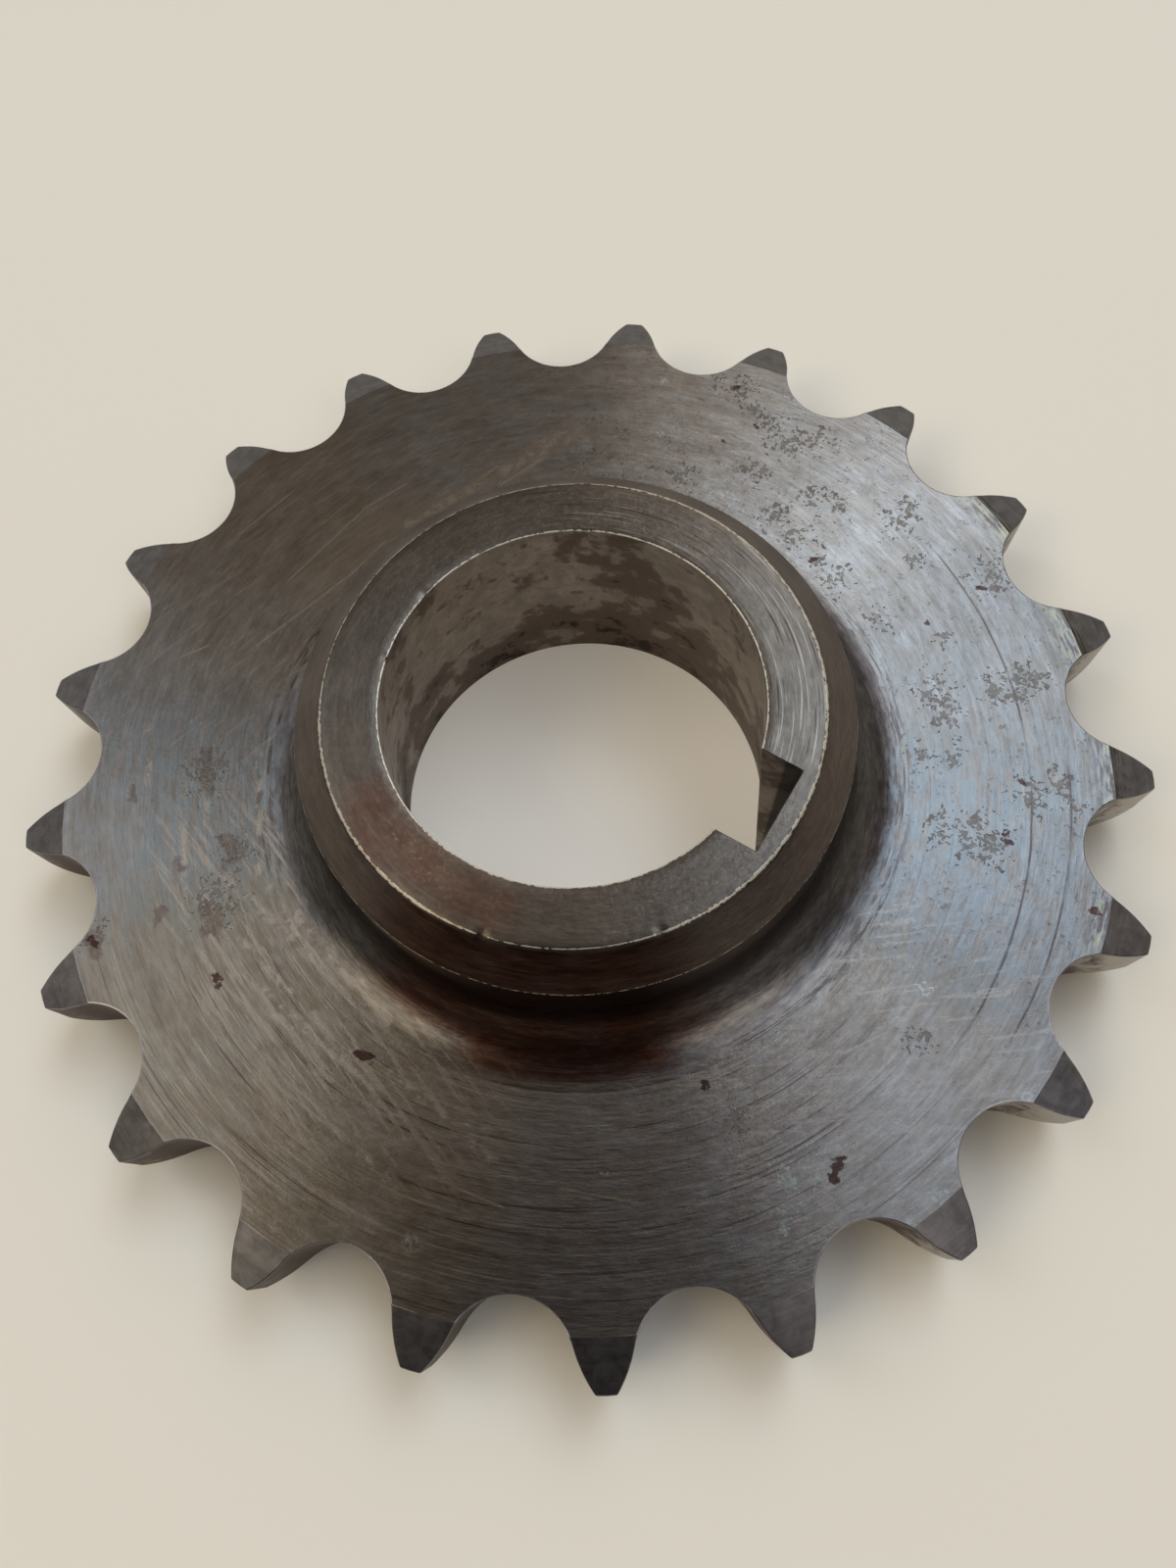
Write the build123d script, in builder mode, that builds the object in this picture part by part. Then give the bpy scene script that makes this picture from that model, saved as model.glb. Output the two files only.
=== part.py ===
from build123d import *
import math
import os

# Chain: 1/2 x 5/16 in roller chain, and the ISO tooth gap that its roller beds in.
pitch = 12.7
roller_dia = 8.51
teeth = 21
tip_height = 1.75        # from the pitch circle out to the tips
tip_flat = 1.42

# Toothed plate, bevelled on both faces towards the tips.
plate_thickness = 7.1
bevel_width = 3.65
bevel_depth = 1.5

# Hub on the front face, low boss on the back face.
hub_dia = 39.8
hub_height = 12.0
hub_chamfer_width = 2.5
hub_chamfer_height = 2.65
hub_fillet = 4.7
boss_dia = 46.0
boss_height = 1.7

# Taper bore, wide end at the back, with one straight keyway on +X.
bore_front_dia = 26.7
bore_back_dia = 29.8
keyway_width = 6.5
keyway_depth = 1.2       # at the wide end; the floor runs parallel to the axis
tooth_lag = 5.06         # degrees from the keyway back to the nearest tooth

edge_break = 0.25

pitch_radius = pitch / math.sin(math.pi / teeth) / 2
tip_radius = pitch_radius + tip_height
seat_bottom = pitch_radius - roller_dia / 2
seat_radius = 0.505 * roller_dia + 0.069 * roller_dia ** (1 / 3)
seat_half_angle = math.radians(70 - 45 / teeth)
keyway_floor = bore_back_dia / 2 + keyway_depth

plate_back = boss_height
plate_front = plate_back + plate_thickness
hub_face = plate_front + hub_height


def corner(sketch, x, y):
    return sketch.vertices().sort_by_distance((x, y, 0))[0]


# Half section of the turned blank, drawn as radius against height.
with BuildSketch() as section:
    with BuildLine():
        Polyline(
            (bore_back_dia / 2, 0),
            (boss_dia / 2, 0),
            (boss_dia / 2, plate_back),
            (tip_radius - bevel_width, plate_back),
            (tip_radius, plate_back + bevel_depth),
            (tip_radius, plate_front - bevel_depth),
            (tip_radius - bevel_width, plate_front),
            (hub_dia / 2, plate_front),
            (hub_dia / 2, hub_face - hub_chamfer_height),
            (hub_dia / 2 - hub_chamfer_width, hub_face),
            (bore_front_dia / 2, hub_face),
            close=True,
        )
    make_face()
    fillet(corner(section, hub_dia / 2, plate_front), hub_fillet)
    chamfer(
        [
            corner(section, bore_front_dia / 2, hub_face),
            corner(section, hub_dia / 2 - hub_chamfer_width, hub_face),
            corner(section, bore_back_dia / 2, 0),
            corner(section, boss_dia / 2, 0),
        ],
        edge_break,
    )

# One tooth gap on +X: the roller seat, and on each side a flank tangent to it that ends at the tip's corner.
seat = Vector(seat_bottom + seat_radius, 0)
seat_end = seat + Vector(-math.cos(seat_half_angle), math.sin(seat_half_angle)) * seat_radius
outwards = Vector(math.sin(seat_half_angle), math.cos(seat_half_angle))
tip_corner = Vector(tip_radius, 0).rotate(Axis.Z, 180 / teeth - math.degrees(math.asin(tip_flat / 2 / tip_radius)))

with BuildSketch() as gap:
    with BuildLine():
        ThreePointArc(seat_end, (seat_bottom, 0), (seat_end.X, -seat_end.Y))
        TangentArc(seat_end, tip_corner, tangent=outwards)
        Polyline(
            tip_corner,
            (tip_radius + roller_dia, tip_corner.Y),
            (tip_radius + roller_dia, -tip_corner.Y),
            (tip_corner.X, -tip_corner.Y),
        )
        TangentArc((seat_end.X, -seat_end.Y), (tip_corner.X, -tip_corner.Y), tangent=(outwards.X, -outwards.Y))
    make_face()

with BuildPart() as sprocket:
    with BuildSketch(Plane.XZ):
        add(section.sketch)
    revolve(axis=Axis.Z)

    with BuildSketch():
        with PolarLocations(0, teeth, start_angle=180 / teeth - tooth_lag):
            add(gap.sketch)
    extrude(amount=plate_front, mode=Mode.SUBTRACT)

    Box(
        keyway_floor,
        keyway_width,
        hub_face,
        align=(Align.MIN, Align.CENTER, Align.MIN),
        mode=Mode.SUBTRACT,
    )

sprocket.part.label = "sprocket"
os.makedirs("parts", exist_ok=True)
export_step(sprocket.part, "parts/sprocket.step")
print("sprocket", len(sprocket.part.solids()), "solid,", round(sprocket.part.volume), "mm3, pitch circle",
      round(2 * pitch_radius, 2), "seat radius", round(seat_radius, 3))
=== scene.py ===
import bmesh
import bpy
import math
from mathutils import Matrix, Vector
from types import SimpleNamespace


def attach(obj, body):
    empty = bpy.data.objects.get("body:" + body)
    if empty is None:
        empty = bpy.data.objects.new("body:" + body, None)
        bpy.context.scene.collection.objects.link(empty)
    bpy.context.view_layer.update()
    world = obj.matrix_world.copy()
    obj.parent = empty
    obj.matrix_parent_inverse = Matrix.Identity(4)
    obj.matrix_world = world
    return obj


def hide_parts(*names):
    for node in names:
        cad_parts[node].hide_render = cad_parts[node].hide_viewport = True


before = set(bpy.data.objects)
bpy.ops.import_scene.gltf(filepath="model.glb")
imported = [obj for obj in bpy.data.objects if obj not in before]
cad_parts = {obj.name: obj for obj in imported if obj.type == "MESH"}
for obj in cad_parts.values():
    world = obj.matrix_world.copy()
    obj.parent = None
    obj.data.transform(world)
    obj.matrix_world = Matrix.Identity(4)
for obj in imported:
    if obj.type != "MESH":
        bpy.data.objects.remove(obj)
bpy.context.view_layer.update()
mm = 0.001
sameSpot = 0.001 * mm  # points nearer than this are one


def deselectAll():
    if bpy.context.object and bpy.context.object.mode != "OBJECT":
        bpy.ops.object.mode_set(mode="OBJECT")
    bpy.ops.object.select_all(action="DESELECT")


def editOnly(piece):
    deselectAll()
    piece.select_set(True)
    bpy.context.view_layer.objects.active = piece
    bpy.ops.object.mode_set(mode="EDIT")


def selectEverything():
    bpy.ops.mesh.select_all(action="SELECT")


def selectWhere(piece, kind, test):
    bpy.ops.mesh.select_mode(type=kind)
    bpy.ops.mesh.select_all(action="DESELECT")
    mesh = bmesh.from_edit_mesh(piece.data)
    parts = {"VERT": mesh.verts, "EDGE": mesh.edges, "FACE": mesh.faces}[kind]
    found = [part for part in parts if test(part)]
    for part in found:
        part.select = True
    mesh.select_flush_mode()
    bmesh.update_edit_mesh(piece.data)
    return len(found)


def startVertex(name, at):
    # A plane shrunk to its middle is the single vertex that a line is drawn from
    deselectAll()
    bpy.ops.mesh.primitive_plane_add(size=mm)
    bpy.context.object.name = name
    bpy.ops.object.mode_set(mode="EDIT")
    bpy.ops.mesh.select_mode(type="VERT")
    bpy.ops.mesh.merge(type="CENTER")
    selectEverything()
    bpy.ops.transform.translate(value=at)
    return bpy.context.object


def drawTo(points):
    for a, b in zip(points, points[1:]):
        bpy.ops.mesh.extrude_vertices_move(TRANSFORM_OT_translate={"value": b - a})


def roundCorner(piece, corner, radius, segments):
    selectWhere(piece, "VERT", lambda v: (v.co - corner).length < 10 * sameSpot)
    bpy.ops.mesh.bevel(offset=radius * mm, segments=segments, affect="VERTICES", profile=0.5)


def spinRound(steps):
    selectEverything()
    bpy.ops.mesh.spin(steps=steps, angle=2 * math.pi, center=(0, 0, 0), axis=(0, 0, 1))
    selectEverything()
    bpy.ops.mesh.remove_doubles(threshold=sameSpot)
    bpy.ops.mesh.normals_make_consistent(inside=False)


def cutAway(piece, cutter):
    deselectAll()
    bpy.context.view_layer.objects.active = piece
    modifier = piece.modifiers.new("cut", "BOOLEAN")
    modifier.object = cutter
    modifier.operation = "DIFFERENCE"
    modifier.solver = "EXACT"
    bpy.ops.object.modifier_apply(modifier=modifier.name)
    bpy.data.objects.remove(cutter)


def applyModifier(piece, kind, **values):
    deselectAll()
    piece.select_set(True)
    bpy.context.view_layer.objects.active = piece
    modifier = piece.modifiers.new("finish", kind)
    for key, value in values.items():
        setattr(modifier, key, value)
    bpy.ops.object.modifier_apply(modifier=modifier.name)


def distanceOut(co):
    return math.hypot(co.x, co.y) / mm


def addNode(tree, kind, values=None, **settings):
    node = tree.nodes.new("ShaderNode" + kind)
    for key, value in settings.items():
        setattr(node, key, value)
    for key, value in (values or {}).items():
        plugIn(tree, node.inputs[key], value)
    return node


def plugIn(tree, socket, value):
    if isinstance(value, bpy.types.NodeSocket):
        tree.links.new(value, socket)
    else:
        socket.default_value = value


def newMaterial(name):
    material = bpy.data.materials.new(name)
    material.use_nodes = True
    tree = material.node_tree
    tree.nodes.clear()
    shader = addNode(tree, "BsdfPrincipled")
    addNode(tree, "OutputMaterial", {"Surface": shader.outputs["BSDF"]})
    return material, tree, shader


def maths(tree, operation, *values):
    return addNode(tree, "Math", dict(enumerate(values)), operation=operation).outputs[0]


def vectorMaths(tree, operation, *values):
    return addNode(tree, "VectorMath", dict(enumerate(values)), operation=operation).outputs


def fold(tree, operation, values):
    total = values[0]
    for value in values[1:]:
        total = maths(tree, operation, total, value)
    return total


def times(tree, *values):
    return fold(tree, "MULTIPLY", values)


def highest(tree, *values):
    return fold(tree, "MAXIMUM", values)


def timesPlus(tree, value, factor, extra):
    return maths(tree, "MULTIPLY_ADD", value, factor, extra)


def ramp(tree, value, start, end, low=0.0, high=1.0):
    # Smooth step from low at start to high at end
    inputs = {"Value": value, "From Min": start, "From Max": end, "To Min": low, "To Max": high}
    return addNode(tree, "MapRange", inputs, interpolation_type="SMOOTHSTEP").outputs[0]


def noise(tree, vector, scale, detail, roughness, distortion=0.0):
    inputs = {
        "Vector": vector,
        "Scale": scale,
        "Detail": detail,
        "Roughness": roughness,
        "Distortion": distortion,
    }
    return addNode(tree, "TexNoise", inputs).outputs[0]


def mixColors(tree, factor, first, second, blend="MIX"):
    node = addNode(tree, "Mix", data_type="RGBA", blend_type=blend)
    for place, value in ((0, factor), (6, first), (7, second)):
        plugIn(tree, node.inputs[place], value)
    return node.outputs[2]


def nearer(tree, nearest, gap, reach):
    share = maths(tree, "MULTIPLY", gap, 1 / reach)
    return share if nearest is None else maths(tree, "MINIMUM", nearest, share)


def spots(tree, place, marks):
    # Soft round marks, each x, y and reach in millimetres, on whatever height it meets
    nearest = None
    for x, y, reach in marks:
        gap = vectorMaths(tree, "DISTANCE", place, (x, y, 0))["Value"]
        nearest = nearer(tree, nearest, gap, reach)
    return ramp(tree, nearest, 1.0, 0.0)


def strokes(tree, place, marks):
    # Straight marks from one point to another, each x, y, x, y and half width in millimetres
    nearest = None
    for x, y, endX, endY, halfWidth in marks:
        along = Vector((endX - x, endY - y, 0))
        fromStart = vectorMaths(tree, "SUBTRACT", place, (x, y, 0))[0]
        share = vectorMaths(tree, "DOT_PRODUCT", fromStart, along / along.length_squared)["Value"]
        inside = addNode(tree, "Clamp", {0: share}).outputs[0]
        foot = addNode(tree, "VectorMath", {0: along, "Scale": inside}, operation="SCALE").outputs[0]
        gap = vectorMaths(tree, "DISTANCE", fromStart, foot)["Value"]
        nearest = nearer(tree, nearest, gap, halfWidth)
    return ramp(tree, nearest, 1.0, 0.0)


# Lengths in millimetres; heights count up from the floor, and the keyway lies on +X
sprocketShape = {
    "teeth": 21,
    "pitch": 12.7,
    "rollerDiameter": 8.51,
    "tipHeight": 1.75,  # over the pitch circle
    "tipFlat": 1.42,
    "toothLag": 5.06,  # degrees from a tooth back to the keyway
    "bossRadius": 23.0,
    "bossHeight": 1.7,
    "plateThickness": 7.1,
    "bevelWidth": 3.65,
    "bevelDepth": 1.5,
    "hubRadius": 19.9,
    "hubHeight": 12.0,  # over the plate
    "hubChamferWidth": 2.5,
    "hubChamferHeight": 2.65,
    "hubFillet": 4.7,
    "grooveRadius": 25.1,
    "grooveWidth": 0.34,
    "grooveDepth": 0.035,
    "boreFrontRadius": 13.35,
    "boreBackRadius": 14.9,
    "keywayWidth": 6.5,
    "keywayFloor": 16.1,  # from the axis
    "bossEdge": 0.25,
    "boreEdge": 0.1,
    "faceEdge": 0.15,
    "coneEdge": 0.2,
    "keywayEdge": 0.05,
    "toothEdge": 0.12,
    "creaseShare": 0.2,  # how much of toothEdge the bevels' inner edges get
    "nicks": [  # x, y, height, 1 for a push away from the axis or -1 towards it, and reach
        (3.72, -17.1, 20.8, -1, 0.45),
        (13.4, -11.0, 20.8, -1, 0.36),
        (-13.3, 1.7, 20.8, 1, 0.42),
        (-12.8, -3.8, 20.8, 1, 0.38),
    ],
    "nickPush": 1 / 22,  # of its reach, three times over
    "hubSteps": 504,  # sides of everything that is turned
    "filletSteps": 14,
    "edgeSteps": 2,
    "seatSteps": 26,
    "flankSteps": 9,
    "seamRadius": 33.0,  # where the toothed ring is joined to the hub
    "seamGap": 1.5,
    "rimRing": 0.8,  # a ring beside each rim of the hub's face keeps a nick small
    "smoothAngle": 35,  # degrees
}


def levels(shape):
    # Heights of the plate's back and front and of the hub's face
    back = shape["bossHeight"]
    front = back + shape["plateThickness"]
    return back, front, front + shape["hubHeight"]


# Marks on the plate's front and the hub's face: x, y and reach in millimetres, from the axis
plateMarks = {
    "flakes": [
        (-8.0, 37.0, 2.0), (-6.2, 37.6, 2.2), (-4.2, 36.2, 1.9), (-1.8, 34.9, 2.5), (0.2, 34.6, 2.8),
        (1.9, 35.9, 2.5), (-0.9, 30.7, 2.4), (4.4, 29.9, 2.5), (6.6, 30.7, 2.0), (2.5, 27.3, 2.2),
        (4.7, 26.7, 2.5), (9.2, 24.2, 2.8), (7.6, 25.4, 1.8), (11.9, 33.3, 1.9), (11.7, 31.9, 2.1),
        (14.4, 29.3, 1.5), (20.3, 31.2, 2.6), (20.5, 29.9, 2.2), (14.5, 22.8, 1.9), (19.7, 23.8, 1.5),
        (26.1, 23.0, 3.0), (27.3, 24.3, 2.1), (24.9, 21.7, 1.9), (21.0, 19.2, 2.9), (22.8, 17.9, 2.5),
        (22.7, 13.9, 1.9), (24.7, 14.9, 1.9), (31.0, 15.1, 2.5), (32.4, 16.7, 2.4), (34.0, 16.2, 2.0),
        (26.6, 9.3, 3.0), (28.6, 10.1, 3.8), (30.0, 9.6, 2.8), (-25.1, -15.0, 3.2), (-24.4, -16.4, 2.1),
        (-19.2, -19.8, 2.5), (-17.9, -23.4, 3.5), (-24.3, -30.4, 2.0), (-6.2, 27.2, 2.4), (31.6, -5.9, 1.9),
        (23.3, -17.4, 1.9),
    ],
    "rust": [
        (-6.7, 37.4, 0.6), (30.6, 11.6, 0.7), (30.9, 10.8, 0.6), (30.7, -16.2, 1.0), (30.9, -17.0, 0.8),
        (-1.7, -27.6, 0.8), (-1.3, -27.4, 0.6), (-14.3, -28.1, 0.6), (-14.0, -28.5, 0.4), (17.8, 24.5, 0.4),
        (20.1, 29.6, 0.5), (7.4, 25.3, 0.6), (-5.2, 31.4, 0.4), (20.3, -16.5, 0.6), (-24.0, -30.7, 0.6),
        (-3.0, 34.9, 0.4), (38.5, 8.6, 0.6), (30.0, 15.5, 0.4),
    ],
    "chips": [
        (-6.5, 27.7, 0.8), (28.8, -21.1, 0.8), (29.3, -21.7, 0.5), (23.2, -23.9, 0.35), (17.5, -25.2, 0.5),
        (21.8, -28.9, 0.5), (-12.6, 34.9, 0.5), (-10.2, 30.0, 0.6), (8.4, -35.9, 1.1), (28.1, -18.7, 1.0),
        (30.2, -2.4, 0.9), (36.6, -17.2, 0.8), (37.5, -14.3, 0.9), (39.9, -5.7, 0.8), (27.9, -18.9, 0.9),
        (30.0, -18.0, 0.7),
    ],
    # From here on each mark runs from one point to another: x, y, x, y and half width
    "scratches": [
        (-28.4, -4.5, -25.3, 5.6, 0.17), (-29.8, 1.6, -28.2, 10.8, 0.14), (-28.2, 10.8, -26.5, 14.6, 0.16),
        (-36.2, 3.3, -34.7, 9.0, 0.12), (-19.3, 18.6, -17.6, 22.5, 0.2), (-21.5, 17.4, -20.6, 20.0, 0.12),
        (-25.6, 4.5, -24.8, 9.0, 0.12), (-33.2, -8.4, -31.9, -6.5, 0.15), (-12.0, 36.8, -8.6, 38.6, 0.12),
        (7.0, -31.5, 12.5, -30.6, 0.14), (15.2, -27.5, 20.6, -25.4, 0.12), (27.5, -9.6, 29.5, -6.6, 0.12),
    ],
    "streaks": [
        (-24.2, 11.1, -20.0, 19.6, 0.7), (-20.4, 18.8, -16.8, 26.2, 1.2), (-18.3, -21.6, -8.5, -23.4, 0.8),
        (-12.4, -21.1, -1.4, -24.3, 0.9), (-9.5, -28.1, -6.5, -28.1, 0.5), (-6.8, -26.5, -2.1, -28.3, 0.5),
        (0.7, -27.1, 12.5, -28.7, 0.6), (4.7, -27.6, 8.7, -26.9, 0.6), (2.0, -32.9, 4.2, -32.7, 0.5),
        (-2.4, -38.7, -0.2, -39.8, 0.5), (-15.8, -24.6, -9.0, -26.2, 0.5),
        (-17.0, -19.6, -11.0, -22.6, 0.6), (-10.8, -27.0, 0.1, -28.7, 0.5),
        (-25.5, -18.1, -19.8, -25.0, 0.4), (-22.6, -11.9, -18.5, -17.5, 0.5),
        (-29.8, -17.0, -28.6, -18.7, 0.4), (-24.6, -16.3, -22.7, -18.5, 0.45),
    ],
    "rubbed": [
        (-28.0, 2.5, -25.0, 13.5, 3.2), (-24.6, 10.6, -20.0, 19.8, 1.2), (-20.8, 18.6, -16.6, 26.6, 1.9),
    ],
    "stains": [
        (-26.2, -14.0, -24.0, -16.9, 0.8), (-20.2, -19.4, -19.2, -20.3, 1.1),
        (-17.9, -24.4, -17.2, -25.3, 1.3), (-21.1, -26.6, -20.9, -27.0, 0.7),
        (-24.3, -30.4, -23.6, -31.0, 0.9), (-22.6, -22.0, -22.2, -22.6, 0.6),
        (-29.5, -19.5, -29.1, -20.2, 0.5),
    ],
    # Round again, and on the hub's face
    "hubFilm": [
        (-7.6, -13.6, 3.4), (-5.9, -15.2, 3.6), (-4.7, -14.8, 3.6), (-2.2, -15.0, 3.8), (1.2, -15.4, 3.6),
        (3.4, -15.2, 2.8),
    ],
}

# Tones are what each finish reflects, from 0 to 1
steelFinish = {
    "coolColor": (0.1136, 0.1144, 0.1138, 1),
    "warmColor": (0.1192, 0.112, 0.1035, 1),
    "hubColor": (0.0835, 0.074, 0.0635, 1),
    "coneColor": (0.103, 0.083, 0.073, 1),
    "filletColor": (0.108, 0.104, 0.102, 1),
    # The next two colours are oily dirt and painted shade low on the hub
    "grimeColor": (0.03, 0.0085, 0.0036, 1),
    "lowGrimeColor": (0.064, 0.022, 0.011, 1),
    "flakeColor": (0.092, 0.078, 0.069, 1),
    "darkColor": (0.034, 0.025, 0.023, 1),
    "flakeRustColor": (0.045, 0.019, 0.017, 1),
    # The next two are painted reflections: a bluish sheen and a warm cast
    "sheenColor": (0.104, 0.117, 0.124, 1),
    "warmCastTint": (1.04, 0.97, 0.86, 1),
    "rubbedColor": (0.15, 0.131, 0.112, 1),
    "hubFilmColor": (0.083, 0.048, 0.036, 1),
    "hubFleckColor": (0.16, 0.104, 0.068, 1),
    "rustColor": (0.029, 0.013, 0.012, 1),
    "stainColor": (0.07, 0.053, 0.043, 1),
    "wallColor": (0.185, 0.172, 0.155, 1),
    "wallBurnishedAndLitColor": (0.42, 0.385, 0.35, 1),
    "wallStainColor": (0.068, 0.048, 0.037, 1),
    "chipColor": (0.21, 0.23, 0.216, 1),
    "streakColor": (0.195, 0.18, 0.16, 1),
    "scoredColor": (0.26, 0.25, 0.225, 1),
    # The next two are rubbed rims, partly painted highlights
    "brightColor": (0.5, 0.48, 0.4, 1),
    "rimColor": (0.46, 0.43, 0.35, 1),
    "bevelColor": (0.165, 0.163, 0.172, 1),
    "boreColor": (0.27, 0.225, 0.185, 1),
    "boreStainColor": (0.105, 0.072, 0.055, 1),
    # Darkest blotches in the bore, and a painted shade over the keyway
    "darkStainAndKeywayShadeColor": (0.034, 0.021, 0.015, 1),
    "burrColor": (0.18, 0.18, 0.115, 1),
    "roughness": 0.262,
    "rougher": {"flaked": 0.07, "onHub": 0.05, "onWall": 0.2, "worn": 0.2},
    "boreRoughness": 0.4,
    "anisotropy": 0.62,
    # Reliefs are in millimetres
    "relief": {"fine": 0.009, "flecks": 0.018, "dashes": 0.012, "flaked": -0.01, "grain": 0.003},
    "bevelRelief": 0.006,
    "boreRelief": {"streaks": 0.008, "grain": 0.004},
    "rimWidths": {"face": 0.14, "cone": 0.05, "bore": 0.11},
    "raggedness": 1.5,  # how far a ragged mark's outline wanders, in millimetres
    # How much of the steel under it each mark covers
    "cover": {
        "hubFlecks": 0.7,
        "darkFillet": 0.9,
        "grooveLines": 0.6,
        "scribes": 0.75,
        "rubbed": 0.85,
        "stains": 0.7,
        "streaks": 0.85,
        "scratches": 1.0,
        "flakes": 0.7,
        "flakeEdges": 0.7,
        "flakeHalos": 0.25,
        "pinholes": 0.45,
        "rust": 0.9,
        "chips": 0.8,
        "burrs": 0.7,
        "betweenBurrs": 0.6,
        "bevelBurrs": 0.8,
        "boreStains": 0.8,
    },
    # Textures that follow the turning lines: scale across them, scale round the axis, detail, start
    "turned": {
        "fine": (3.5, 9.0, 3.0, 0.0),
        "flecks": (3.6, 27.0, 4.0, 121.0),
        "dashes": (1.5, 13.0, 4.0, 33.0),
        "cuts": (6.5, 2.6, 1.5, 257.0),
        "bands": (0.8, 5.0, 2.0, 140.0),
        "hatch": (4.5, 7.0, 2.0, 310.0),
        "boreBlotches": (0.17, 2.6, 5.0, 12.0),
        "boreStreaks": (2.2, 9.0, 3.0, 70.0),
    },
    # Textures that run evenly all over: scale, detail, roughness, distortion
    "even": {
        "blotch": (0.2, 4.0, 0.6, 0.3),
        "mottle": (0.85, 6.0, 0.68, 0.5),
        "grain": (3.0, 3.0, 0.6, 0.0),
        "bevelMottle": (0.85, 5.0, 0.65, 0.5),
        "boreMottle": (0.6, 5.0, 0.65, 0.4),
    },
    # Straight hairlines where the plate was wiped: their direction in degrees, start
    "hairlines": {"upper": (72, 0.5), "lower": (-20, 7.5), "right": (38, 13.5)},
    # Where each look lies: degrees round from the keyway, half its width, its fade
    "zones": {
        # Painted shade, with oily dirt, low on the hub and in the fillet
        "grime": (-68, 20, 22),
        "grimeSpill": (-61, 15, 7),
        "darkFilletRight": (41, 27, 14),
        "darkFilletLeft": (-143, 10, 14),
        # Painted highlights
        "paleFillet": (-22, 8, 14),
        "palePlateRight": (-22, 8, 16),
        "palePlateTop": (88, 18, 14),
        "paleFace": (-70, 30, 20),
        # Painted reflections: the bluish sheen, then the warm cast
        "sheenLeft": (-140, 9, 14),
        "sheenRight": (16, 12, 12),
        "oiledLow": (-99, 24, 12),
        "oiledLeft": (176, 16, 10),
        "oiledRight": (-18, 12, 14),
        "stainedWalls": (-90, 50, 25),
        # Partly burnished, partly a painted reflection of the lit floor
        "paleWalls": (10, 45, 25),
        "scoredPlate": (-70, 35, 30),
        "scoredFace": (70, 50, 20),
        # Painted shade beside the groove
        "grooveRight": (20, 35, 20),
        "grooveLeft": (-155, 20, 15),
        "wipedUpper": (172, 30, 20),
        "wipedLower": (-108, 26, 16),
        "wipedRight": (-22, 16, 18),
        "pinholes": (60, 55, 25),
        # Where the painted rim highlight is dimmed
        "dulledLow": (-63, 12, 20),
        "dulledLeft": (160, 42, 15),
        "burredPlate": (40, 28, 8),
        "burredBevels": (50, 24, 6),
        # Painted highlights on the bevels
        "polishedRight": (-5, 5, 8),
        "polishedLeft": (-124, 6, 9),
        "scribedNear": (28, 32, 5),
        "scribedFar": (13, 14, 5),
    },
    "scribes": {"scribedNear": 34.5, "scribedFar": 37.3},  # radius of each circle scribed on the plate
}


def turnedSurface(name, s, shape):
    # What every turned finish (f from here on) needs: its place in millimetres, brushing round the axis
    material, tree, shader = newMaterial(name)
    metres = addNode(tree, "TexCoord").outputs["Object"]
    place = addNode(tree, "VectorMath", {0: metres, "Scale": 1 / mm}, operation="SCALE").outputs[0]
    x, y, height = addNode(tree, "SeparateXYZ", {0: place}).outputs
    flat = addNode(tree, "CombineXYZ", {0: x, 1: y}).outputs[0]
    out = vectorMaths(tree, "LENGTH", flat)["Value"]
    spoke = vectorMaths(tree, "NORMALIZE", flat)[0]
    tree.links.new(vectorMaths(tree, "CROSS_PRODUCT", (0, 0, 1), spoke)[0], shader.inputs["Tangent"])
    shader.inputs["Metallic"].default_value = 1
    shader.inputs["Anisotropic"].default_value = s["anisotropy"]
    shader.inputs["Anisotropic Rotation"].default_value = 0.25
    f = SimpleNamespace(place=place, flat=flat, out=out, spoke=spoke, height=height)
    f.material, f.tree, f.shader, f.look, f.cover = material, tree, shader, s, s["cover"]
    f.shape, f.filletEnd = shape, shape["hubRadius"] + shape["hubFillet"]
    f.back, f.front, f.face = levels(shape)
    return f


def turnedNoise(f, name):
    # Changes fast across the turning lines and slowly along them
    scaleAcross, scaleRound, detail, start = f.look["turned"][name]
    run = timesPlus(f.tree, maths(f.tree, "SUBTRACT", f.out, f.height), scaleAcross, start)
    spread = addNode(f.tree, "VectorMath", {0: f.spoke, "Scale": scaleRound}, operation="SCALE").outputs[0]
    offset = addNode(f.tree, "CombineXYZ", {2: run}).outputs[0]
    return noise(f.tree, vectorMaths(f.tree, "ADD", spread, offset)[0], 1.0, detail, 0.6)


def evenNoise(f, name):
    return noise(f.tree, f.place, *f.look["even"][name])


def hairlines(f, name):
    # Long along one direction and fine across it
    direction, start = f.look["hairlines"][name]
    angle = math.radians(direction)
    scaleAlong, scaleAcross = 0.2, 2.4
    along = (math.cos(angle) * scaleAlong, math.sin(angle) * scaleAlong, 0)
    across = (-math.sin(angle) * scaleAcross, math.cos(angle) * scaleAcross, 0)
    runs = [vectorMaths(f.tree, "DOT_PRODUCT", f.flat, axis)["Value"] for axis in (along, across)]
    vector = addNode(f.tree, "CombineXYZ", {0: runs[0], 1: runs[1], 2: start}).outputs[0]
    return noise(f.tree, vector, 1.0, 4.0, 0.6, 0.2)


def zone(f, name):
    # 1 within half degrees of the middle direction, fading out
    middle, half, fade = f.look["zones"][name]
    direction = (math.cos(math.radians(middle)), math.sin(math.radians(middle)), 0)
    facing = vectorMaths(f.tree, "DOT_PRODUCT", f.spoke, direction)["Value"]
    return ramp(f.tree, facing, math.cos(math.radians(half + fade)), math.cos(math.radians(half)))


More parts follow.
